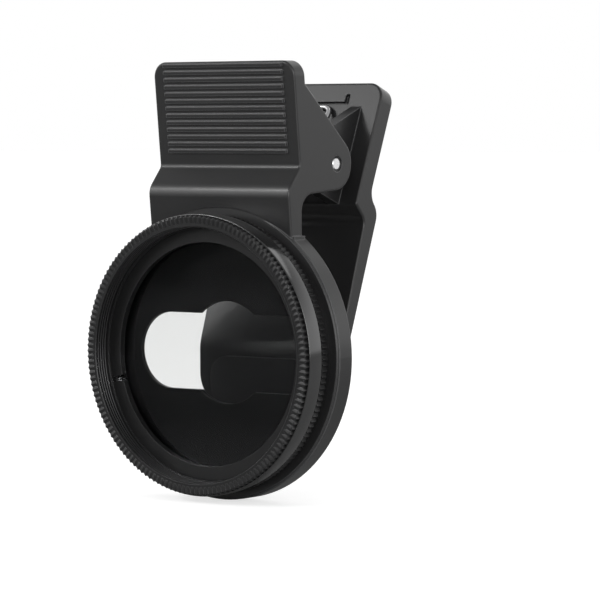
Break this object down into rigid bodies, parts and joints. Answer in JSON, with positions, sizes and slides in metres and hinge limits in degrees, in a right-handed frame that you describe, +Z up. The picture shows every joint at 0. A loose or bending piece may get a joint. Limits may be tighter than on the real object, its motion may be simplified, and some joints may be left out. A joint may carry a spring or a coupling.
{
  "type": "clip-on polarizing filter",
  "caption": "Rotating polarizing filter in a knurled ring, screwed into the disc of a sprung plastic clip that pinches the edge of a handset.",
  "frame": {"origin": "on the optical axis, in the plane where the front pad meets the handset", "axes": "+Z up towards the grip plates, +Y from the filter through the handset to the rear jaw, so the filter faces -Y"},
  "size_m": [0.0422, 0.0316, 0.0629],
  "materials": {
    "black_plastic": "satin moulded",
    "black_anodised": "satin black anodised",
    "bright_steel": "bright cut end",
    "spring_steel": "bright drawn wire",
    "filter_glass": "polished",
    "filter_foil": "grey polarizing foil",
    "soft_pad": "matt soft pad"
  },
  "bodies": {
    "front_clip": {"front_jaw": "black_plastic", "front_pad": "soft_pad", "pivot_pin": "bright_steel", "torsion_spring": "spring_steel", "filter_mount_ring": "black_anodised", "snap_ring": "spring_steel"},
    "rear_lever": {"rear_jaw": "black_plastic", "rear_pad": "soft_pad"},
    "filter_cell": {"rotating_ring": "black_anodised", "glass_retaining_ring": "black_anodised", "front_glass": "filter_glass", "polarizing_film": "filter_foil", "rear_glass": "filter_glass"}
  },
  "joints": [
    {"name": "clip_hinge", "type": "hinge", "parent": "front_clip", "child": "rear_lever", "pos_m": [0, 0.0077, 0.027], "axis": [1, 0, 0], "range_deg": [-11, 30], "stiffness_Nm_per_rad": 0.12, "springref_deg": -57.3, "deforming": ["torsion_spring"]},
    {"name": "filter_turn", "type": "hinge", "parent": "front_clip", "child": "filter_cell", "pos_m": [0, -0.0051, 0], "axis": [0, -1, 0], "continuous": true}
  ]
}
